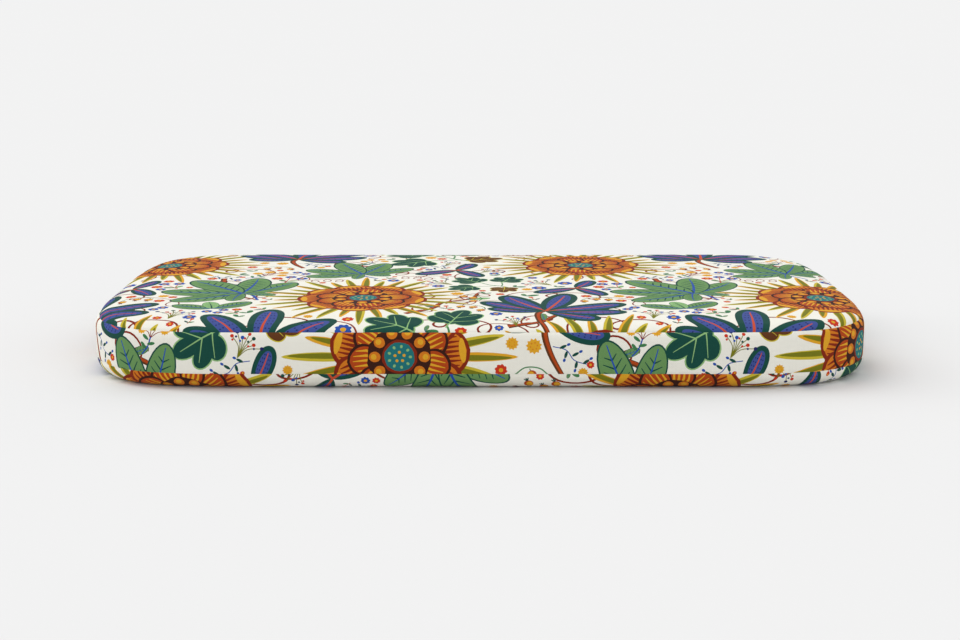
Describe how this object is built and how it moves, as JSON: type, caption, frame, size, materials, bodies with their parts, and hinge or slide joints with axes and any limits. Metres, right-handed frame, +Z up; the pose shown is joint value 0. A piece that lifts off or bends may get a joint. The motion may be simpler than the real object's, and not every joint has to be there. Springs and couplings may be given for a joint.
{
  "type": "kneeling pad",
  "caption": "Thick rectangular kneeling pad with broad round corners: a foam slab in a boxed printed fabric cover that closes with a zip along its rear band.",
  "frame": {"origin": "middle of the underside, on the surface that the pad rests on", "axes": "+Z up, X along the pad's length, +Y towards the rear band with the zip"},
  "size_m": [0.45, 0.2432, 0.036],
  "materials": {
    "printed_fabric": "plain-weave fabric with an all-over botanical print, matt",
    "comfort_foam": "open-cell soft foam",
    "base_foam": "closed-cell foam, matt",
    "thread": "polyester sewing thread",
    "zip_tape": "woven polyester tape",
    "zip_teeth": "moulded acetal teeth",
    "zip_metal": "satin nickel"
  },
  "bodies": {
    "pad": {"top_panel": "printed_fabric", "bottom_panel": "printed_fabric", "front_band": "printed_fabric", "rear_band_upper": "printed_fabric", "rear_band_lower": "printed_fabric", "zip_end_tab_left": "printed_fabric", "zip_end_tab_right": "printed_fabric", "comfort_foam": "comfort_foam", "base_foam": "base_foam", "top_seam_thread": "thread", "bottom_seam_thread": "thread", "band_end_threads": "thread", "zip_topstitch_upper": "thread", "zip_topstitch_lower": "thread", "zip_tape_upper": "zip_tape", "zip_tape_lower": "zip_tape", "zip_teeth_upper": "zip_teeth", "zip_teeth_lower": "zip_teeth", "zip_top_stops": "zip_teeth", "zip_bottom_stop": "zip_teeth"},
    "slider": {"zip_slider": "zip_metal"},
    "pull": {"zip_pull": "zip_metal"}
  },
  "joints": [
    {"name": "zip_slide", "type": "slide", "parent": "pad", "child": "slider", "axis": [-1, 0, 0], "range_m": [0, 0.262], "deforming": ["zip_teeth_upper", "zip_teeth_lower"]},
    {"name": "pull_swing", "type": "hinge", "parent": "slider", "child": "pull", "pos_m": [0.1335, 0.1214, 0.02], "axis": [0, 0, -1], "range_deg": [0, 180]}
  ]
}
